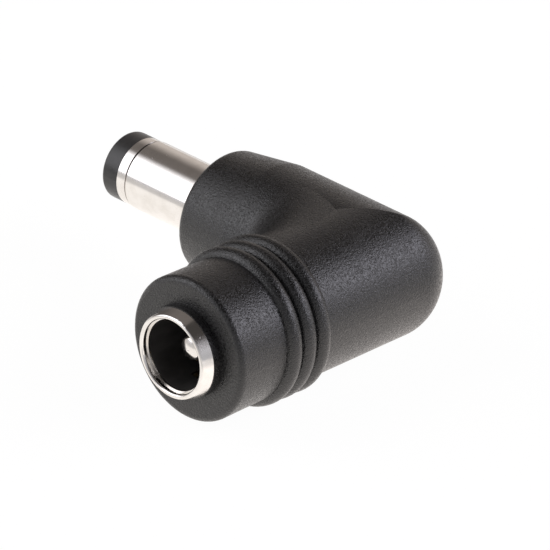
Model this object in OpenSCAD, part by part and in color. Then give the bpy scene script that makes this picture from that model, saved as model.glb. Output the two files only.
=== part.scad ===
// Right-angle DC power adaptor: a 5.5 mm barrel socket on one arm turns
// through a moulded elbow into a 5.5 mm barrel plug on the other arm.
// The part lies on its side: +Z up, socket arm along -Y, plug arm along -X.
// Every reach is measured from the point where the axes of the arms cross.

/* [Moulding] */
// Radius of the round elbow tube
body_r = 5.6; // [5.2:0.05:6.4]
// Radius of the outer corner, seen from above
corner_r = 3.5; // [3:0.1:5]
// Radius of the inner corner, seen from above
crotch_r = 1.5; // [0.8:0.1:2.2]
// How far the inner corner's fillet stays below the tube
crotch_step = 0.02; // [0.01:0.01:0.05]

/* [Socket nose] */
// Reach of the flat socket face
nose_reach = 17.9; // [17:0.1:20]
// How much the nose widens towards its face
nose_flare = 0.07; // [0:0.01:0.2]
// Round on the edge of the face
nose_edge = 0.5; // [0.2:0.05:1]
// Radius of the raised collar round the metal sleeve
collar_r = 3.62; // [3.58:0.01:4]
// Height of the raised collar above the face
collar_h = 0.75; // [0.4:0.05:1]

/* [Grip ribs] */
// Number of ribs
rib_count = 3; // [1:1:4]
// Distance from one rib to the next
rib_pitch = 1.5; // [1.45:0.05:1.8]
// Radius of the half-round rib section
rib_round = 0.72; // [0.5:0.02:0.72]
// Height of the ribs above the tube
rib_height = 0.58; // [0.3:0.02:0.65]
// Reach of the rib nearest the elbow
rib_reach = 9.4; // [9:0.1:10]

/* [Plug arm] */
// Reach of the plug arm's flat shoulder
shoulder_reach = 14.15; // [13:0.05:16]
// Reach at which the arm starts to taper
taper_reach = 8.9; // [8:0.1:10]
// Slope of the taper, in degrees
taper_angle = 8; // [4:0.5:10]
// Round on the edge of the shoulder
shoulder_edge = 0.8; // [0.4:0.05:1]

/* [Socket] */
// Outside radius of the metal sleeve
sleeve_r = 3.5; // [3.4:0.01:3.55]
// Wall of the metal sleeve
sleeve_wall = 0.3; // [0.2:0.01:0.35]
// Reach of the rolled front lip of the sleeve
sleeve_reach = 19.6; // [19.3:0.05:21]
// Length of the sleeve
sleeve_len = 10.6; // [9.8:0.1:11]
// Radius at the foot of the sleeve's rim, just clear of the collar
rim_r = 3.56; // [3.5:0.01:3.6]
// Slope of the rim, in degrees
rim_angle = 15; // [5:1:20]
// Height of the rim, from its foot to the lip
rim_h = 0.93; // [0.8:0.01:1.2]
// Radius of the hole inside the lip
lip_hole_r = 2.91; // [2.88:0.01:2.95]
// Depth of the hole inside the lip
lip_depth = 0.52; // [0.45:0.01:0.6]
// Thickness of the land that keeps the liner in
land_t = 0.14; // [0.1:0.01:0.2]
// Radius of the hole in the black liner, for a 5.5 mm plug
liner_bore_r = 2.8; // [2.77:0.01:2.84]
// Length of the insulating base that closes the sleeve
base_len = 1.6; // [1.2:0.1:2]
// Radius of the centre pin
pin_r = 1; // [0.8:0.05:1.2]
// How far the pin's tip lies behind the lip
pin_recess = 1.8; // [1.2:0.05:3]
// Radius of the shallow crown on the pin's tip
pin_crown = 1.8; // [1.4:0.1:3]
// Round on the edge of the pin's tip
pin_edge = 0.4; // [0.2:0.05:0.6]
// Radius of the pin's shank through the base
pin_shank_r = 0.7; // [0.5:0.05:0.75]
// Radius of the pin's riveted head behind the base
pin_head_r = 1.1; // [0.9:0.05:1.4]
// Thickness of that head
pin_head_t = 0.4; // [0.3:0.05:0.6]

/* [Spring contact] */
// Width of the leaf
leaf_w = 1.4; // [1:0.1:1.6]
// Thickness of the leaf
leaf_t = 0.2; // [0.15:0.01:0.25]
// Length of the bowed stretch
leaf_bow_len = 5.2; // [4:0.1:5.6]
// How far the bow stands in
leaf_bow = 0.42; // [0.3:0.02:0.5]
// Flat length between the base and the bow
leaf_flat = 0.8; // [0.4:0.1:1.2]

/* [Plug] */
// Outside radius of the barrel, for a 5.5 mm socket
barrel_r = 2.75; // [2.7:0.01:2.8]
// Wall of the barrel
barrel_wall = 0.4; // [0.3:0.01:0.45]
// Reach of the front end of the metal barrel
barrel_reach = 22.7; // [21:0.1:24]
// Length of the slightly reduced band at the front of the barrel
band_len = 0.8; // [0.5:0.01:1.2]
// How much smaller the band's radius is
band_step = 0.05; // [0.02:0.01:0.1]
// Depth of the turned groove between barrel and band
groove_depth = 0.13; // [0.1:0.01:0.2]
// Width of that groove
groove_w = 0.2; // [0.15:0.01:0.3]
// Radius of the barrel's root inside the moulding
root_r = 3; // [2.95:0.05:3.2]
// Depth of moulding in front of the root
root_cover = 0.15; // [0.1:0.05:0.5]
// Radius of the flange that anchors the barrel in the moulding
flange_r = 3.6; // [3.3:0.05:3.7]
// Thickness of the flange
flange_t = 0.8; // [0.5:0.05:1.2]
// Reach of the rear end of the barrel
barrel_back = 8.6; // [8.4:0.1:9]
// Radius of the black tip
tip_r = 2.7; // [2.65:0.01:2.74]
// Length of the black tip in front of the barrel
tip_len = 1.65; // [0.8:0.05:2]
// Round on the front edge of the tip
tip_edge = 0.3; // [0.1:0.05:0.4]
// Radius of the hole in the tip
tip_hole_r = 1.25; // [1.22:0.01:1.4]
// Thickness of the tip's front wall
tip_wall = 0.8; // [0.5:0.05:0.9]
// Outside radius of the inner contact
contact_r = 1.6; // [1.45:0.01:1.7]
// Radius of the hole in the inner contact, for a 2 mm pin
contact_bore_r = 1.05; // [1.02:0.01:1.1]
// Depth of that hole
contact_depth = 9; // [7:0.5:10]
// Width of the slots that let the contact spring
contact_slot_w = 0.35; // [0.25:0.05:0.5]
// Length of those slots
contact_slot_len = 6; // [4:0.5:7]
// Length of the insulating bush behind the tip's tube
bush_len = 2.4; // [1.8:0.1:3]

/* [Solder tags] */
// Outside radius of both tag rings, and the outer face of their tabs
tag_r = 4.2; // [4:0.05:4.4]
// Radius of the hole in both tag rings
tag_hole_r = 2.4; // [2.2:0.05:2.8]
// Thickness of the tag metal
tag_t = 0.3; // [0.2:0.01:0.35]
// Width of the tabs
tag_w = 1.6; // [1.4:0.1:2]
// Length of the tabs behind their rings
tag_len = 2.2; // [2:0.1:2.4]

/* [Wires] */
// Radius of the bare conductors
wire_r = 0.4; // [0.3:0.02:0.45]
// Radius over the insulation
jacket_r = 0.75; // [0.65:0.05:0.8]
// Radius of the right-angle bend in each wire
bend_r = 4.2; // [3.6:0.1:4.4]
// Straight insulated length at each end of the bend
jacket_run = 0.5; // [0.2:0.1:0.8]
// Stripped length at each end of the positive wire
strip_len = 1.4; // [1.2:0.1:1.6]
// Depth to which a conductor sits in a solder cup
cup_depth = 0.9; // [0.6:0.1:1]
// Outside radius of the solder cups
cup_r = 0.65; // [0.6:0.02:0.68]
// Radius of the solder over a conductor
solder_r = 0.7; // [0.65:0.02:0.75]
// Height of the solder fillet at the mouth of a cup
fillet_h = 0.35; // [0.2:0.05:0.4]
// Length of conductor that lies on a tab
tab_joint_len = 1.4; // [1:0.1:1.6]

/* [Fits] */
// Gap between the moulding and what it is moulded round
mould_gap = 0.02; // [0.01:0.01:0.04]
// Gap between pieces pushed together
push_gap = 0.02; // [0.01:0.01:0.03]
// Gap between a conductor and its solder, cup or insulation
wire_gap = 0.02; // [0.01:0.01:0.03]

/* [Hidden] */
$fn = 96;

far = 40;                                          // longer than either arm
rib_crest_r = body_r + rib_height;
rib_front = rib_reach + (rib_count - 1) * rib_pitch;
nose_r = body_r + nose_flare;
collar_reach = nose_reach + collar_h;
corner_at = body_r - corner_r;                     // axis of the outer corner
crotch_at = body_r + crotch_r;                     // axis of the inner corner
tip_reach = barrel_reach + tip_len;

// the part stands on Z = 0, under the middle of its box
axis_x = (tip_reach - max(body_r, rib_crest_r)) / 2;
axis_y = (sleeve_reach - body_r) / 2;
axis_z = rib_crest_r;

// socket, from the lip inwards
sleeve_back = sleeve_reach - sleeve_len;
sleeve_bore_r = sleeve_r - sleeve_wall;
rim_foot = sleeve_reach - rim_h;
liner_r = sleeve_bore_r - push_gap;
liner_front = sleeve_reach - lip_depth - land_t - push_gap;
base_front = sleeve_back + base_len;
pin_tip = sleeve_reach - pin_recess;
leaf_slot_w = leaf_w + 2 * push_gap;
leaf_seat = sqrt(pow(sleeve_bore_r, 2) - pow(leaf_w / 2, 2)) - push_gap;
leaf_back = base_front + leaf_flat;
leaf_front = leaf_back + leaf_bow_len;

// plug, from the tip inwards
bore_r = barrel_r - barrel_wall;
tube_r = bore_r - push_gap;
contact_front = tip_reach - tip_wall - push_gap;
contact_hole_r = contact_r + push_gap;
bush_front = barrel_back + bush_len;

// wires: both conductors bend round the same upright axis
cup_mouth = bend_r + jacket_run + strip_len - cup_depth;
cup_bottom = cup_mouth + cup_depth;
tab_top = -tag_r + tag_t;                          // inner face of both tabs
negative_z = tab_top + wire_r + wire_gap;
sleeve_tag_back = sleeve_back - tag_t - push_gap;
barrel_tag_back = barrel_back - tag_t - push_gap;
socket_tab_run = sleeve_tag_back - tag_len - bend_r;
plug_tab_run = barrel_tag_back - tag_len - bend_r;

// ---- placing ----

// turns a piece made along +Z so that it runs out along the socket arm, with its Y upwards
module along_socket_arm() {
    translate([axis_x, axis_y, axis_z]) rotate([90, 0, 0]) children();
}

// the same along the plug arm
module along_plug_arm() {
    translate([axis_x, axis_y, axis_z]) rotate([90, 0, -90]) children();
}

// a solid rod between two reaches
module rod(r, from, to) {
    translate([0, 0, from]) cylinder(r = r, h = to - from);
}

// a tube between two reaches
module tube(outer, inner, from, to) {
    difference() {
        rod(outer, from, to);
        rod(inner, from - 1, to + 1);
    }
}

// a round wire: one bend from arm to arm with a straight run at each end
module wire_run(r, socket_run, plug_run, height) {
    translate([axis_x - bend_r, axis_y - bend_r, axis_z + height])
        rotate_extrude(angle = 90) translate([bend_r, 0]) circle(r = r);
    along_socket_arm() translate([0, height, 0]) rod(r, bend_r, bend_r + socket_run);
    along_plug_arm() translate([0, height, 0]) rod(r, bend_r, bend_r + plug_run);
}

// ---- moulding ----

// half section of the socket arm: tube, ribs, flared nose and collar
module socket_arm_section() {
    edge_at = nose_reach - nose_edge;
    polygon([[0, -far], [body_r, -far], [body_r, rib_front], [nose_r, edge_at],
        [nose_r - nose_edge, nose_reach], [0, nose_reach]]);
    translate([nose_r - nose_edge, edge_at]) circle(r = nose_edge);
    square([collar_r, collar_reach]);
    for (i = [0 : rib_count - 1])
        translate([rib_crest_r - rib_round, rib_reach + i * rib_pitch]) circle(r = rib_round);
}

// half section of the plug arm: tube, taper and rounded shoulder
module plug_arm_section() {
    round_at = shoulder_reach - shoulder_edge;
    round_r = body_r - (round_at - taper_reach) * tan(taper_angle)
        - shoulder_edge / cos(taper_angle);
    polygon([[0, -far], [body_r, -far], [body_r, taper_reach],
        [round_r + shoulder_edge * cos(taper_angle), round_at + shoulder_edge * sin(taper_angle)],
        [round_r, shoulder_reach], [0, shoulder_reach]]);
    translate([round_r, round_at]) circle(r = shoulder_edge);
}

// everything on one side of the upright plane that halves the right angle
module mitre_side(turn) {
    translate([axis_x, axis_y, axis_z]) rotate([0, 0, turn])
        translate([0, -far, -far]) cube(2 * far);
}

// outer corner: the edge segment of the tube turned round the corner's own axis
module outer_corner() {
    translate([axis_x + corner_at, axis_y + corner_at, axis_z]) rotate_extrude(angle = 90)
        intersection() {
            translate([-corner_at, 0]) circle(r = body_r);
            translate([0, -body_r]) square([body_r, 2 * body_r]);
        }
}

// inner corner: the tube bent round an axis between the arms
module inner_corner() {
    translate([axis_x - crotch_at, axis_y - crotch_at, axis_z]) rotate_extrude(angle = 90)
        translate([crotch_at, 0]) circle(r = body_r - crotch_step);
}

module body_outside() {
    difference() {
        union() {
            intersection() {
                along_socket_arm() rotate_extrude() socket_arm_section();
                mitre_side(-45);
            }
            intersection() {
                along_plug_arm() rotate_extrude() plug_arm_section();
                mitre_side(135);
            }
        }
        translate([axis_x + corner_at, axis_y + corner_at, axis_z - far]) cube(2 * far);
    }
    outer_corner();
    inner_corner();
}

// room for everything that the moulding is moulded round
module insert_space() {
    g = mould_gap;
    along_socket_arm() {
        rod(sleeve_r + g, sleeve_back, far);
        rod(rim_r + g, rim_foot, far);
        rod(pin_head_r + g, sleeve_back - push_gap - pin_head_t - g, sleeve_back + g);
        rod(cup_r + g, cup_mouth - g, sleeve_back);
        tag_shape(sleeve_tag_back, g);
    }
    along_plug_arm() {
        rod(barrel_r + g, barrel_back, far);
        rod(root_r + g, barrel_back, shoulder_reach - root_cover + g);
        rod(flange_r + g, barrel_back, barrel_back + flange_t + g);
        rod(cup_r + g, cup_mouth - g, barrel_back + g);
        tag_shape(barrel_tag_back, g);
    }
    wire_run(jacket_r + g, jacket_run + g, jacket_run + g, 0);
    wire_run(wire_r + g, cup_mouth - bend_r, cup_mouth - bend_r, 0);
    wire_run(jacket_r + g, socket_tab_run + g, plug_tab_run + g, negative_z);
    wire_run(wire_r + g, socket_tab_run + tab_joint_len, plug_tab_run + tab_joint_len, negative_z);
    along_socket_arm() cup_fillet(g);
    along_plug_arm() cup_fillet(g);
    along_socket_arm() tab_joint(sleeve_tag_back, g);
    along_plug_arm() tab_joint(barrel_tag_back, g);
}

module moulded_body() {
    color([0.16, 0.16, 0.17]) difference() {
        body_outside();
        insert_space();
    }
}

// ---- socket ----

// half section of the sleeve: plain tube, sloping rim with a full round lip, and inner land
module sleeve_section() {
    lip_outer_r = rim_r - rim_h * tan(rim_angle);
    lip_round = (lip_outer_r - lip_hole_r) / 2;
    round_at = sleeve_reach - lip_round;
    foot_at = sleeve_reach - lip_depth - land_t;
    translate([sleeve_bore_r, sleeve_back]) square([sleeve_wall, rim_foot - sleeve_back]);
    polygon([[liner_bore_r, foot_at], [sleeve_bore_r + sleeve_wall / 2, foot_at],
        [sleeve_bore_r + sleeve_wall / 2, rim_foot], [rim_r, rim_foot],
        [lip_hole_r + lip_round * (1 + cos(rim_angle)), round_at + lip_round * sin(rim_angle)],
        [lip_hole_r + lip_round, round_at + lip_round * sin(rim_angle)],
        [lip_hole_r + lip_round, round_at], [lip_hole_r, round_at],
        [lip_hole_r, sleeve_reach - lip_depth], [liner_bore_r, sleeve_reach - lip_depth]]);
    translate([lip_hole_r + lip_round, round_at]) circle(r = lip_round);
}

module socket_sleeve() {
    color([0.80, 0.79, 0.77]) along_socket_arm() rotate_extrude() sleeve_section();
}

// black lining that guides the mating plug, with a window for the leaf
module socket_liner() {
    color([0.10, 0.10, 0.10]) along_socket_arm() difference() {
        tube(liner_r, liner_bore_r, base_front + push_gap, liner_front);
        translate([-leaf_slot_w / 2, -liner_r - 1, base_front])
            cube([leaf_slot_w, liner_r + 1, leaf_front + push_gap - base_front]);
    }
}

// insulating disc that closes the sleeve, notched for the leaf's tail
module socket_base() {
    color([0.13, 0.13, 0.12]) along_socket_arm() difference() {
        tube(liner_r, pin_shank_r + push_gap, sleeve_back, base_front);
        translate([-leaf_slot_w / 2, -liner_r - 1, sleeve_back - 1])
            cube([leaf_slot_w, liner_r + 1 - leaf_seat + leaf_t + push_gap, base_len + 2]);
    }
}

// half section of the pin's front: shallow crown that runs into a rounded edge
module pin_tip_section() {
    edge_at = pin_r - pin_edge;
    crown_at = pin_tip - pin_crown;
    round_at = crown_at + sqrt(pow(pin_crown - pin_edge, 2) - pow(edge_at, 2));
    square([pin_r, round_at]);
    translate([edge_at, round_at]) circle(r = pin_edge);
    intersection() {
        translate([0, crown_at]) circle(r = pin_crown);
        square([edge_at * pin_crown / (pin_crown - pin_edge), far]);
    }
}

// turned pin: crowned tip, shank through the base, riveted head and solder cup
module socket_pin() {
    head_back = sleeve_back - push_gap - pin_head_t;
    color([0.82, 0.81, 0.78]) along_socket_arm() difference() {
        union() {
            intersection() {
                rotate_extrude() pin_tip_section();
                rod(pin_r, base_front + push_gap, pin_tip);
            }
            rod(pin_shank_r, head_back, base_front + pin_r);
            rod(pin_head_r, head_back, head_back + pin_head_t);
            rod(cup_r, cup_mouth, head_back + pin_head_t);
        }
        rod(wire_r + wire_gap, cup_mouth - 1, cup_bottom + wire_gap);
    }
}

// side view of the leaf: flat tail, then a shallow bow towards the pin
module leaf_side() {
    bow_radius = (pow(leaf_bow_len / 2, 2) + pow(leaf_bow, 2)) / (2 * leaf_bow);
    bow_middle = leaf_back + leaf_bow_len / 2;
    translate([sleeve_back, -leaf_seat]) square([leaf_back - sleeve_back, leaf_t]);
    intersection() {
        translate([bow_middle, -leaf_seat + leaf_bow - bow_radius]) difference() {
            circle(r = bow_radius + leaf_t);
            circle(r = bow_radius);
        }
        translate([leaf_back, -leaf_seat]) square([leaf_bow_len, leaf_bow + 2 * leaf_t]);
    }
}

module socket_spring() {
    color([0.80, 0.68, 0.42]) along_socket_arm() rotate([0, -90, 0])
        translate([0, 0, -leaf_w / 2]) linear_extrude(leaf_w) leaf_side();
}

// ---- plug ----

// half section of the barrel: rear flange, root, tube, turned groove and front band
module barrel_section() {
    band_back = barrel_reach - band_len;
    groove_middle = band_back - groove_w / 2;
    root_front = shoulder_reach - root_cover;
    polygon([[bore_r, barrel_back], [flange_r, barrel_back], [flange_r, barrel_back + flange_t],
        [root_r, barrel_back + flange_t], [root_r, root_front], [barrel_r, root_front],
        [barrel_r, band_back - groove_w], [barrel_r - groove_depth, groove_middle],
        [barrel_r - band_step, band_back], [barrel_r - band_step, barrel_reach],
        [bore_r, barrel_reach]]);
}

module plug_barrel() {
    color([0.82, 0.80, 0.77]) along_plug_arm() rotate_extrude() barrel_section();
}

// black tip with the tube that keeps the inner contact off the barrel
module plug_tip() {
    color([0.12, 0.12, 0.12]) along_plug_arm() difference() {
        union() {
            rod(tube_r, bush_front + push_gap, barrel_reach + tip_len / 2);
            rod(tip_r, barrel_reach + push_gap, tip_reach - tip_edge);
            rod(tip_r - tip_edge, barrel_reach + tip_len / 2, tip_reach);
            translate([0, 0, tip_reach - tip_edge]) rotate_extrude()
                translate([tip_r - tip_edge, 0]) circle(r = tip_edge);
        }
        rod(contact_hole_r, bush_front - 1, tip_reach - tip_wall);
        rod(tip_hole_r, barrel_reach, tip_reach + 1);
        translate([0, 0, tip_reach - tip_edge])
            cylinder(r1 = tip_hole_r, r2 = tip_hole_r + 2 * tip_edge, h = 2 * tip_edge);
    }
}

// turned inner contact: slotted bore at the front, solder cup at the back
module plug_contact() {
    color([0.80, 0.68, 0.42]) along_plug_arm() difference() {
        union() {
            rod(contact_r, barrel_back, contact_front);
            rod(cup_r, cup_mouth, contact_front - contact_depth);
        }
        rod(contact_bore_r, contact_front - contact_depth, contact_front + 1);
        rod(wire_r + wire_gap, cup_mouth - 1, cup_bottom + wire_gap);
        translate([-contact_r - 1, -contact_slot_w / 2, contact_front - contact_slot_len])
            cube([2 * contact_r + 2, contact_slot_w, contact_slot_len + 1]);
    }
}

// insulating bush between the back of the contact and the barrel
module plug_bush() {
    color([0.90, 0.88, 0.82]) along_plug_arm()
        tube(tube_r, contact_hole_r, barrel_back, bush_front);
}

// ---- tags, wires and solder ----

// a tag's ring and tab, grown by a gap all round
module tag_shape(back, gap) {
    difference() {
        rod(tag_r + gap, back - gap, back + tag_t + gap);
        rod(tag_hole_r - gap, back - 1, back + tag_t + 1);
    }
    translate([-tag_w / 2 - gap, -tag_r - gap, back - tag_len - gap])
        cube([tag_w + 2 * gap, tag_t + 2 * gap, tag_len + tag_t + 2 * gap]);
}

module sleeve_tag() {
    color([0.74, 0.73, 0.70]) along_socket_arm() tag_shape(sleeve_tag_back, 0);
}

module barrel_tag() {
    color([0.74, 0.73, 0.70]) along_plug_arm() tag_shape(barrel_tag_back, 0);
}

module positive_wire() {
    color([0.72, 0.45, 0.30])
        wire_run(wire_r, jacket_run + strip_len, jacket_run + strip_len, 0);
}

module positive_insulation() {
    color([0.70, 0.08, 0.07]) difference() {
        wire_run(jacket_r, jacket_run, jacket_run, 0);
        wire_run(wire_r + wire_gap, jacket_run + 1, jacket_run + 1, 0);
    }
}

module negative_wire() {
    color([0.72, 0.45, 0.30]) wire_run(wire_r, socket_tab_run + tab_joint_len,
        plug_tab_run + tab_joint_len, negative_z);
}

module negative_insulation() {
    color([0.09, 0.09, 0.09]) difference() {
        wire_run(jacket_r, socket_tab_run, plug_tab_run, negative_z);
        wire_run(wire_r + wire_gap, socket_tab_run + 1, plug_tab_run + 1, negative_z);
    }
}

// cone of solder between a conductor and the mouth of its cup, grown by a gap
module cup_fillet(gap) {
    translate([0, 0, cup_mouth - wire_gap - fillet_h])
        cylinder(r1 = (wire_r + cup_r) / 2 + gap, r2 = cup_r + gap, h = fillet_h);
}

// solder drawn over a conductor on its tab, grown by a gap
module tab_joint(back, gap) {
    joint_end = back - tag_len + tab_joint_len;
    intersection() {
        translate([0, negative_z, 0]) {
            rod(solder_r + gap, joint_end - tab_joint_len / 2, joint_end);
            for (end = [joint_end - tab_joint_len / 2, joint_end])
                translate([0, 0, end]) sphere(r = solder_r + gap);
        }
        translate([-far, tab_top + wire_gap - gap, -far]) cube([2 * far, far, 2 * far]);
    }
}

module cup_solder() {
    difference() {
        cup_fillet(0);
        rod(wire_r + wire_gap, 0, far);
    }
}

module tab_solder(back) {
    difference() {
        tab_joint(back, 0);
        translate([0, negative_z, 0])
            rod(wire_r + wire_gap, 0, back - tag_len + tab_joint_len + wire_gap);
    }
}

module socket_pin_solder() {
    color([0.66, 0.66, 0.67]) along_socket_arm() cup_solder();
}

module contact_solder() {
    color([0.66, 0.66, 0.67]) along_plug_arm() cup_solder();
}

module sleeve_tag_solder() {
    color([0.66, 0.66, 0.67]) along_socket_arm() tab_solder(sleeve_tag_back);
}

module barrel_tag_solder() {
    color([0.66, 0.66, 0.67]) along_plug_arm() tab_solder(barrel_tag_back);
}

moulded_body();
socket_sleeve();
socket_liner();
socket_base();
socket_pin();
socket_spring();
sleeve_tag();
plug_barrel();
plug_tip();
plug_contact();
plug_bush();
barrel_tag();
positive_wire();
positive_insulation();
negative_wire();
negative_insulation();
socket_pin_solder();
contact_solder();
sleeve_tag_solder();
barrel_tag_solder();
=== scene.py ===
import math

import bpy
from mathutils import Matrix, Vector


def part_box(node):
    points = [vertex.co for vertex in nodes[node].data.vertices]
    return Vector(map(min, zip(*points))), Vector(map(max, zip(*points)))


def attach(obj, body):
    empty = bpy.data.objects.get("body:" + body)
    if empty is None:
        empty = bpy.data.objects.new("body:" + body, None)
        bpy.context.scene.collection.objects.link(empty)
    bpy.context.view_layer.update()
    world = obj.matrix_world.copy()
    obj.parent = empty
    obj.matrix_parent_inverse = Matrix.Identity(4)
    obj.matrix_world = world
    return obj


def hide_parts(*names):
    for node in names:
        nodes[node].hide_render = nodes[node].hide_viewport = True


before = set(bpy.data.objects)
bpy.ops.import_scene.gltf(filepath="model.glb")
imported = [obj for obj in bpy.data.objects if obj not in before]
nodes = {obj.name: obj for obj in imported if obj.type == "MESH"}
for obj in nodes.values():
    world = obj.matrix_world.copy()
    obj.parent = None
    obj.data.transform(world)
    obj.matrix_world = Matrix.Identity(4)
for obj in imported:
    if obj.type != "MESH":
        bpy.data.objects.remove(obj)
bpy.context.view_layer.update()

MM = 0.001                       # metres in a millimetre
GROOVE_R = 2.695                 # within this radius the barrel's turned groove is coloured dark as painted shade, in mm
RIB_FOOT_R, RIB_CREST_R = 5.95, 6.17         # height over which the ribs are rubbed smoother, in mm
RIB_START = -8.0                 # only beyond this the radius means a rib, in mm from the elbow


def middle(node):
    """Middle of a CAD node's box, in metres."""
    low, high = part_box(node)
    return (low + high) / 2


# where the axes of the two arms cross; the socket arm runs along -Y, the plug arm along -X
elbow = Vector((middle("socket_sleeve").x, middle("plug_barrel").y, middle("plug_barrel").z))


# ---- finishes ----

class Signal:
    """A socket of a finish. Operators between signals and numbers add Math nodes."""

    def __init__(self, finish, socket):
        self.finish = finish
        self.socket = socket

    def _math(self, operation, *terms):
        return self.finish.add("ShaderNodeMath", {"operation": operation}, dict(enumerate(terms)))

    def __add__(self, other):
        return self._math("ADD", self, other)

    def __radd__(self, other):
        return self._math("ADD", other, self)

    def __sub__(self, other):
        return self._math("SUBTRACT", self, other)

    def __rsub__(self, other):
        return self._math("SUBTRACT", other, self)

    def __mul__(self, other):
        return self._math("MULTIPLY", self, other)

    def __truediv__(self, other):
        return self._math("DIVIDE", self, other)

    def __lt__(self, other):
        return self._math("LESS_THAN", self, other)

    def root(self):
        return self._math("SQRT", self)

    def most(self, other):
        return self._math("MAXIMUM", self, other)

    def step(self, low, high):
        """0 below low, 1 above high and smooth between them."""
        return self.finish.add("ShaderNodeMapRange", {"interpolation_type": "SMOOTHSTEP"},
                               {"Value": self, "From Min": low, "From Max": high})


class Finish:
    """A material or the surroundings while their nodes are being laid."""

    def __init__(self, name, tree=None):
        if tree is None:
            self.material = bpy.data.materials.new(name)
            self.material.use_nodes = True
            tree = self.material.node_tree
        self.tree = tree
        self.tree.nodes.clear()

    def add(self, kind, settings=None, sockets=None, out=0):
        """Adds a node: its settings first, then a value or a signal for each named socket."""
        made = self.tree.nodes.new(kind)
        for name, value in (settings or {}).items():
            setattr(made, name, value)
        for name, value in (sockets or {}).items():
            if isinstance(value, Signal):
                self.tree.links.new(value.socket, made.inputs[name])
            else:
                made.inputs[name].default_value = value
        return Signal(self, made.outputs[out]) if made.outputs else None

    def place(self, centre=(0, 0, 0), scale=(1, 1, 1)):
        """Object coordinates in millimetres from a centre given in metres."""
        raw = self.add("ShaderNodeTexCoord", out="Object")
        per_mm = [s / MM for s in scale]
        shift = [-c * s for c, s in zip(centre, per_mm)]
        return self.add("ShaderNodeMapping", {}, {"Vector": raw, "Location": shift, "Scale": per_mm})

    def split(self, vector):
        """The x, y and z of a vector."""
        parts = self.add("ShaderNodeSeparateXYZ", {}, {"Vector": vector}).socket.node.outputs
        return [Signal(self, part) for part in parts]

    def noise(self, place, per_mm, detail=2.0, rough=0.5):
        """Soft noise with about per_mm lumps to the millimetre."""
        return self.add("ShaderNodeTexNoise", {}, {"Vector": place, "Scale": per_mm,
                        "Detail": detail, "Roughness": rough})

    def cells(self, place, per_mm):
        """Distance to the nearest of scattered points."""
        return self.add("ShaderNodeTexVoronoi", {}, {"Vector": place, "Scale": per_mm}, out="Distance")

    def tint(self, amount, first, second):
        """Colour that goes from the first to the second as amount goes from 0 to 1."""
        ends = [end if isinstance(end, Signal) else (*end, 1) for end in (first, second)]
        return self.add("ShaderNodeMix", {"data_type": "RGBA"},
                        {0: amount, 6: ends[0], 7: ends[1]}, out=2)

    def relief(self, height, depth_mm):
        """Normal of a surface raised by height times depth_mm."""
        return self.add("ShaderNodeBump", {}, {"Height": height, "Strength": 1.0,
                        "Distance": depth_mm * MM})

    def close(self, **sockets):
        """Ends the finish with its surface shader."""
        named = {name.replace("_", " "): value for name, value in sockets.items()}
        surface = self.add("ShaderNodeBsdfPrincipled", {}, named)
        self.add("ShaderNodeOutputMaterial", {}, {"Surface": surface})
        return self.material


def distance_from_axis(first, second):
    """Radius about an axis, from the two coordinates across it."""
    return (first * first + second * second).root()


def black_moulding():
    """Soft black compound from a spark-eroded tool: fine matte grain, crests rubbed smoother."""
    f = Finish("black_moulding")
    place = f.place(elbow)
    x, y, z = f.split(place)
    grain = f.noise(place, 6.5, 2.0, 0.6)
    sparkle = f.noise(f.place((0.003, 0.001, 0.002)), 7.5, 1.0, 0.5)
    pits = f.cells(place, 6.0)
    cloud = f.noise(place, 0.9, 3.0)
    on_ribs = distance_from_axis(x, z).step(RIB_FOOT_R, RIB_CREST_R) * (y < RIB_START)
    colour = f.tint(cloud.step(0.3, 0.7) * 0.3 + sparkle.step(0.40, 0.62) * 0.7,
                    (0.0042, 0.0041, 0.0041), (0.021, 0.0204, 0.0206))
    rough = 0.22 + sparkle.step(0.35, 0.65) * 0.22 + cloud * 0.06 - on_ribs * 0.03
    height = grain * 0.7 + pits.step(0.1, 0.5) * 0.3
    return f.close(Base_Color=colour, Roughness=rough, Normal=f.relief(height, 0.055),
                   Specular_IOR_Level=0.64)


def nickel_plate(name, centre, along, rough_low, rough_high, line_depth, groove_r=None):
    """Bright nickel on turned brass: fine turning lines, faint smears and a few specks.

    Painted shade darkens a turned groove below the radius groove_r.
    """
    f = Finish(name)
    place = f.place(centre)
    parts = f.split(place)
    lines = f.add("ShaderNodeTexNoise", {"noise_dimensions": "1D"},
                  {"W": parts[along], "Scale": 22.0, "Detail": 3.0, "Roughness": 0.65})
    smear = f.noise(place, 0.7, 3.0, 0.6)
    specks = 1.0 - f.cells(place, 1.3).step(0.035, 0.06)
    colour = f.tint(smear.step(0.35, 0.7) * 0.5 + specks * 0.5,
                    (0.84, 0.815, 0.785), (0.70, 0.665, 0.62))
    if groove_r:
        across = [part for number, part in enumerate(parts) if number != along]
        # painted shade: inside groove_r the nickel is coloured dark brown in place of the groove
        # step's shade
        outside_groove_shade = distance_from_axis(*across).step(groove_r - 0.04, groove_r)
        colour = f.tint(outside_groove_shade, (0.20, 0.17, 0.15), colour)
    rough = smear * (rough_high - rough_low) + rough_low + specks * 0.25
    return f.close(Base_Color=colour, Metallic=1.0, Roughness=rough,
                   Normal=f.relief(lines + specks * 0.3, line_depth))


def hard_black(name, centre, base, sheen_high):
    """Hard black insulator: satin, with faint flow marks and fine dust-size pits."""
    f = Finish(name)
    place = f.place(centre)
    flow = f.noise(f.place(centre, (1, 0.35, 1)), 1.4, 3.0, 0.55)
    fine = f.noise(place, 16.0, 2.0)
    colour = f.tint(flow.step(0.3, 0.7), base, tuple(c * 1.5 for c in base))
    rough = 0.26 + flow * sheen_high + fine * 0.06
    return f.close(Base_Color=colour, Roughness=rough, Normal=f.relief(fine * 0.5 + flow, 0.006))


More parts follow.
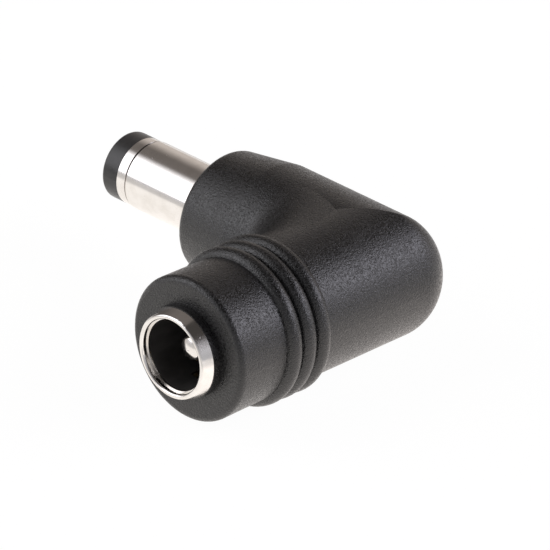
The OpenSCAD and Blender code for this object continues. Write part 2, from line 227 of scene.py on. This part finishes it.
def rolled_metal(name, stretch, bright, dull, rough_from):
    """Strip metal with rolling lines that run the long way of the stretch."""
    f = Finish(name)
    lines = f.noise(f.place(elbow, stretch), 14.0, 3.0, 0.6)
    cloud = f.noise(f.place(elbow), 1.2, 2.0)
    colour = f.tint(cloud.step(0.3, 0.75) * 0.7 + lines * 0.3, bright, dull)
    return f.close(Base_Color=colour, Metallic=1.0, Roughness=lines * 0.14 + rough_from,
                   Normal=f.relief(lines, 0.004))


def soft_cover(name, base, deep):
    """Smooth wire cover with a faint orange peel."""
    f = Finish(name)
    place = f.place(elbow)
    peel = f.noise(place, 3.5, 2.0)
    fine = f.noise(place, 20.0, 1.0)
    colour = f.tint(peel.step(0.3, 0.7), base, deep)
    return f.close(Base_Color=colour, Roughness=0.34 + fine * 0.12,
                   Normal=f.relief(peel + fine * 0.2, 0.01))


def natural_plastic():
    """Cloudy white plastic without dye, slightly translucent."""
    f = Finish("natural_plastic")
    place = f.place(elbow)
    cloud = f.noise(place, 1.6, 3.0)
    fine = f.noise(place, 18.0, 1.0)
    colour = f.tint(cloud.step(0.3, 0.7), (0.80, 0.78, 0.71), (0.70, 0.68, 0.60))
    return f.close(Base_Color=colour, Roughness=0.42 + fine * 0.12,
                   Normal=f.relief(fine, 0.006), Subsurface_Weight=0.1,
                   Subsurface_Scale=0.5 * MM)


def soft_solder():
    """Lumpy grey solder with a frosted skin."""
    f = Finish("soft_solder")
    place = f.place(elbow)
    lumps = f.noise(place, 2.2, 3.0)
    frost = f.cells(place, 9.0)
    colour = f.tint(lumps.step(0.3, 0.7), (0.64, 0.64, 0.65), (0.50, 0.50, 0.52))
    return f.close(Base_Color=colour, Metallic=1.0, Roughness=0.24 + frost * 0.3,
                   Normal=f.relief(lumps * 2.0 + frost * 0.3, 0.02))


def give(finish, *names):
    """These CAD nodes take the finish."""
    for name in names:
        slots = nodes[name].data.materials
        slots.clear()
        slots.append(finish)


give(black_moulding(), "moulded_body")
give(nickel_plate("nickel_sleeve", middle("socket_sleeve"), 1, 0.12, 0.22, 0.0012), "socket_sleeve")
give(nickel_plate("nickel_barrel", middle("plug_barrel"), 0, 0.10, 0.20, 0.0012, GROOVE_R),
     "plug_barrel")
give(nickel_plate("nickel_pin", middle("socket_pin"), 1, 0.10, 0.20, 0.001), "socket_pin")
give(hard_black("liner_black", middle("socket_liner"), (0.040, 0.038, 0.036), 0.10), "socket_liner")
give(hard_black("base_black", middle("socket_base"), (0.050, 0.048, 0.046), 0.16), "socket_base")
give(hard_black("tip_black", middle("plug_tip"), (0.030, 0.029, 0.028), 0.10), "plug_tip")
give(rolled_metal("spring_bronze", (1.0, 0.06, 1.0), (0.80, 0.62, 0.36), (0.62, 0.45, 0.25), 0.22),
     "socket_spring")
give(rolled_metal("turned_brass", (1.0, 0.08, 0.08), (0.84, 0.68, 0.38), (0.68, 0.52, 0.28), 0.20),
     "plug_contact")
give(rolled_metal("tinned_tag", (0.3, 0.3, 1.0), (0.74, 0.73, 0.70), (0.60, 0.59, 0.57), 0.28),
     "sleeve_tag", "barrel_tag")
copper = rolled_metal("bare_copper", (1.0, 1.0, 0.2), (0.86, 0.46, 0.30), (0.68, 0.32, 0.20), 0.24)
give(copper, "positive_wire", "negative_wire")
give(soft_cover("red_cover", (0.46, 0.022, 0.018), (0.36, 0.015, 0.012)), "positive_insulation")
give(soft_cover("black_cover", (0.022, 0.022, 0.023), (0.015, 0.015, 0.016)), "negative_insulation")
give(natural_plastic(), "plug_bush")
give(soft_solder(), "socket_pin_solder", "contact_solder", "sleeve_tag_solder", "barrel_tag_solder")


# ---- stranded conductors ----

BEND_R = 4.2 * MM                # bend of both conductors round their upright axis
LAY_LENGTH = 3.2 * MM            # length in which a strand goes once round
STRANDS = 6                      # strands round the core
RINGS = 90                       # rings of points along each strand
SIDES = 10                       # sides of a strand's round
BEND_STEPS = 24                  # straight steps of the bend in the path


class Tree:
    """A Geometry Nodes tree while its nodes are being laid."""

    def __init__(self, name):
        self.tree = bpy.data.node_groups.new(name, "GeometryNodeTree")
        face = self.tree.interface
        face.new_socket("Geometry", in_out="INPUT", socket_type="NodeSocketGeometry")
        face.new_socket("Geometry", in_out="OUTPUT", socket_type="NodeSocketGeometry")
        self.start = self.tree.nodes.new("NodeGroupInput")
        self.end = self.tree.nodes.new("NodeGroupOutput")

    def size(self, name, kind, value):
        """A named input of the tree."""
        made = self.tree.interface.new_socket(name, in_out="INPUT", socket_type=kind)
        made.default_value = value
        return self.start.outputs[name]

    def add(self, kind, settings=None, sockets=None, out=0):
        """Adds a node: its settings first, then a value or a socket for each named input."""
        made = self.tree.nodes.new(kind)
        for name, value in (settings or {}).items():
            setattr(made, name, value)
        for name, value in (sockets or {}).items():
            if isinstance(value, bpy.types.NodeSocket):
                self.tree.links.new(value, made.inputs[name])
            else:
                made.inputs[name].default_value = value
        return made.outputs[out]

    def maths(self, operation, *terms):
        """A Math node of these terms."""
        return self.add("ShaderNodeMath", {"operation": operation}, dict(enumerate(terms)))

    def vector(self, operation, **terms):
        """A Vector Math node whose terms are first, second and scale."""
        numbered = {"first": 0, "second": 1, "scale": "Scale"}
        return self.add("ShaderNodeVectorMath", {"operation": operation},
                        {numbered[name]: value for name, value in terms.items()})


def strand_tree():
    """Strands laid round a core along a level path, each a closed tube."""
    t = Tree("laid_strands")
    count = t.size("Strands", "NodeSocketInt", STRANDS)
    lay_r = t.size("Lay Radius", "NodeSocketFloat", 0.27 * MM)
    strand_r = t.size("Strand Radius", "NodeSocketFloat", 0.13 * MM)
    turns = t.size("Turns", "NodeSocketFloat", 3.0)
    rings = t.size("Rings", "NodeSocketInt", RINGS)
    finish = t.size("Finish", "NodeSocketMaterial", None)
    path = t.add("GeometryNodeMeshToCurve", {}, {"Mesh": t.start.outputs["Geometry"]})
    core = t.add("GeometryNodeResampleCurve", {}, {"Curve": path, "Count": rings})
    copies = t.add("GeometryNodeDuplicateElements", {"domain": "SPLINE"},
                   {"Geometry": core, "Amount": count}).node.outputs
    share = t.add("GeometryNodeSplineParameter", out="Factor")
    phase = t.maths("DIVIDE", copies["Duplicate Index"], count)
    angle = t.maths("MULTIPLY", t.maths("ADD", t.maths("MULTIPLY", share, turns), phase), math.tau)
    tangent = t.add("GeometryNodeInputTangent")
    side = t.vector("CROSS_PRODUCT", first=tangent, second=(0, 0, 1))
    out = t.vector("SCALE", first=side, scale=t.maths("SINE", angle))
    rise = t.add("ShaderNodeCombineXYZ", {}, {"Z": t.maths("COSINE", angle)})
    offset = t.vector("SCALE", first=t.vector("ADD", first=out, second=rise), scale=lay_r)
    laid = t.add("GeometryNodeSetPosition", {},
                 {"Geometry": copies["Geometry"], "Offset": offset})
    joined = t.add("GeometryNodeJoinGeometry", {}, {"Geometry": core})
    t.tree.links.new(laid, joined.node.inputs["Geometry"])
    ring = t.add("GeometryNodeCurvePrimitiveCircle", {}, {"Resolution": SIDES, "Radius": strand_r})
    tubes = t.add("GeometryNodeCurveToMesh", {}, {"Curve": joined,
                  "Profile Curve": ring, "Fill Caps": True})
    smooth = t.add("GeometryNodeSetShadeSmooth", {}, {"Geometry": tubes})
    real = t.add("GeometryNodeRealizeInstances", {}, {"Geometry": smooth})
    coated = t.add("GeometryNodeSetMaterial", {}, {"Geometry": real, "Material": finish})
    t.tree.links.new(coated, t.end.inputs["Geometry"])
    return t.tree


def lay_strands(tree, node, name, finish):
    """Strands in place of a conductor's solid, along the same path."""
    low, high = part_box(node)
    wire_r = (high.z - low.z) / 2
    centre = Vector((high.x - wire_r, high.y - wire_r, high.z - wire_r))
    axis = centre - Vector((BEND_R, BEND_R, 0))
    points = [Vector((centre.x, low.y, centre.z))]
    for i in range(BEND_STEPS + 1):
        a = math.radians(90.0 * i / BEND_STEPS)
        points.append(axis + Vector((math.cos(a), math.sin(a), 0)) * BEND_R)
    points.append(Vector((low.x, centre.y, centre.z)))
    length = sum((b - a).length for a, b in zip(points, points[1:]))
    sheet = bpy.data.meshes.new(name + "_path")
    sheet.from_pydata(points, [(i, i + 1) for i in range(len(points) - 1)], [])
    laid = bpy.data.objects.new(name + "_path", sheet)
    bpy.context.scene.collection.objects.link(laid)
    modifier = laid.modifiers.new("strands", "NODES")
    modifier.node_group = tree
    sizes = {"Lay Radius": wire_r * 2 / 3, "Strand Radius": wire_r / 3,
             "Turns": length / LAY_LENGTH, "Rings": RINGS, "Strands": STRANDS, "Finish": finish}
    for socket in tree.interface.items_tree:
        if socket.in_out == "INPUT" and socket.name in sizes:
            modifier[socket.identifier] = sizes[socket.name]
    shape = bpy.data.meshes.new_from_object(laid.evaluated_get(
        bpy.context.evaluated_depsgraph_get()))
    bpy.data.objects.remove(laid)
    piece = bpy.data.objects.new(name, shape)
    bpy.context.scene.collection.objects.link(piece)
    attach(piece, "root")
    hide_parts(node)


strands = strand_tree()
lay_strands(strands, "positive_wire", "positive_strands", copper)
lay_strands(strands, "negative_wire", "negative_strands", copper)


# ---- floor, surroundings and camera ----

FLOOR_HALF = 3.0                 # half the floor's side, in metres
NEAR_FLOOR, FAR_FLOOR = 28.0, 44.0           # where the floor's glow fades, in mm from its middle
CAMERA_AZIMUTH, CAMERA_ELEVATION, CAMERA_ROLL = 43.185, 27.587, 2.498        # degrees
CAMERA_AWAY = 0.6                # distance from the elbow, in metres
CAMERA_ASIDE, CAMERA_DOWN = 6.049 * MM, 0.015 * MM
CAMERA_LENS = 526.96             # focal length in mm, on a sensor 36 mm wide


def lay_floor():
    """Pale floor, nearly white to the eye with a faint shadow, a graded glow where it is mirrored."""
    half = FLOOR_HALF
    sheet = bpy.data.meshes.new("floor")
    sheet.from_pydata([(-half, -half, 0), (half, -half, 0), (half, half, 0), (-half, half, 0)],
                      [], [(0, 1, 2, 3)])
    floor = bpy.data.objects.new("floor", sheet)
    bpy.context.scene.collection.objects.link(floor)
    f = Finish("pale_floor")
    path = f.add("ShaderNodeLightPath").socket.node.outputs
    seen = Signal(f, path["Is Camera Ray"]) * 0.92
    mirrored = Signal(f, path["Is Glossy Ray"]).most(Signal(f, path["Is Transmission Ray"])) * 0.85
    paper = f.add("ShaderNodeBsdfDiffuse", {}, {"Color": (0.82, 0.80, 0.78, 1)})
    x, y, z = f.split(f.place())
    to_right = ((x + y) * math.sqrt(0.5)).step(-12.0, 24.0)
    close_by = f.tint(to_right, (1.25, 1.21, 1.17), (1.72, 1.60, 1.53))
    farther = f.tint(to_right, (0.70, 0.68, 0.67), (1.05, 1.02, 1.01))
    glow = f.tint(distance_from_axis(x, y).step(NEAR_FLOOR, FAR_FLOOR), close_by, farther)
    white = f.add("ShaderNodeEmission", {}, {"Color": (1.05, 1.05, 1.05, 1), "Strength": 1.0})
    sheen = f.add("ShaderNodeEmission", {}, {"Color": glow, "Strength": 1.0})
    shown = f.add("ShaderNodeMixShader", {}, {0: seen, 1: paper, 2: white})
    surface = f.add("ShaderNodeMixShader", {}, {0: mirrored, 1: shown, 2: sheen})
    f.add("ShaderNodeOutputMaterial", {}, {"Surface": surface})
    sheet.materials.append(f.material)


def hang_surroundings():
    """A white box on the left, a brighter one behind on the right, warm walls, dim overhead."""
    world = bpy.data.worlds.new("studio")
    bpy.context.scene.world = world
    world.use_nodes = True
    f = Finish("studio", world.node_tree)
    direction = f.add("ShaderNodeTexCoord", out="Generated")
    x, y, z = f.split(direction)
    level = (x * x + y * y).root().most(0.001)

    def facing(azimuth, half, soft):
        """1 within half degrees of an azimuth, fading over soft degrees to 0."""
        middle_way = from_angles(azimuth, 0.0)
        cosine = (x * middle_way.x + y * middle_way.y) / level
        return cosine.step(math.cos(math.radians(half + soft)), math.cos(math.radians(half)))

    tan_wall, cool_wall, light_wall = (0.46, 0.405, 0.37), (0.50, 0.50, 0.53), (0.62, 0.56, 0.52)
    dark_panel, dark_top, dim_top = (0.10, 0.09, 0.085), (0.055, 0.050, 0.047), (0.17, 0.152, 0.143)
    walls = f.tint(facing(35.0, 100.0, 20.0), tan_wall, cool_wall)
    walls = f.tint(facing(-150.0, 14.0, 14.0), walls, light_wall)
    walls = f.tint(facing(-103.0, 14.0, 10.0), walls, dark_panel)
    above = f.tint(facing(-110.0, 50.0, 30.0), dark_top, dim_top)
    walls = f.tint(z.step(0.24, 0.80), walls, above)
    right_box = facing(131.0, 22.0, 12.0) * z.step(0.18, 0.36) * (1.0 - z.step(0.58, 0.74))
    walls = f.tint(right_box, walls, (4.0, 3.94, 4.36))
    left_box = x.step(-0.97, -0.82) * (1.0 - x.step(-0.45, -0.20)) * z.step(0.03, 0.10)
    left_box = left_box * (1.0 - y.step(-0.50, -0.02))
    walls = f.tint(left_box, walls, (2.3, 2.28, 2.38))
    path = f.add("ShaderNodeLightPath").socket.node.outputs
    seen = Signal(f, path["Is Camera Ray"])
    room = f.add("ShaderNodeBackground", {}, {"Color": walls, "Strength": 1.0})
    white = f.add("ShaderNodeBackground", {}, {"Color": (1.0, 1.0, 1.0, 1), "Strength": 1.0})
    mixed = f.add("ShaderNodeMixShader", {}, {0: seen, 1: room, 2: white})
    f.add("ShaderNodeOutputWorld", {}, {"Surface": mixed})


def from_angles(azimuth, elevation):
    """Unit direction from the object; azimuth 0 is -Y and 90 is +X."""
    a, e = math.radians(azimuth), math.radians(elevation)
    return Vector((math.sin(a) * math.cos(e), -math.cos(a) * math.cos(e), math.sin(e)))


def set_camera():
    """Camera above the front right, turned slightly about its own line of sight."""
    away = from_angles(CAMERA_AZIMUTH, CAMERA_ELEVATION)
    right = Vector((0, 0, 1)).cross(away).normalized()
    up = away.cross(right)
    roll = math.radians(CAMERA_ROLL)
    side = right * math.cos(roll) + up * math.sin(roll)
    head = up * math.cos(roll) - right * math.sin(roll)
    camera = bpy.data.objects.new("camera", bpy.data.cameras.new("camera"))
    camera.data.sensor_width = 36.0
    camera.data.lens = CAMERA_LENS
    camera.data.clip_start, camera.data.clip_end = 0.01, 20.0
    place = elbow + away * CAMERA_AWAY - side * CAMERA_ASIDE - head * CAMERA_DOWN
    turn = Matrix((side, head, away)).transposed().to_4x4()
    camera.matrix_world = Matrix.Translation(place) @ turn
    bpy.context.scene.collection.objects.link(camera)
    bpy.context.scene.camera = camera


lay_floor()
hang_surroundings()
set_camera()
bpy.context.scene.view_settings.view_transform = "Standard"
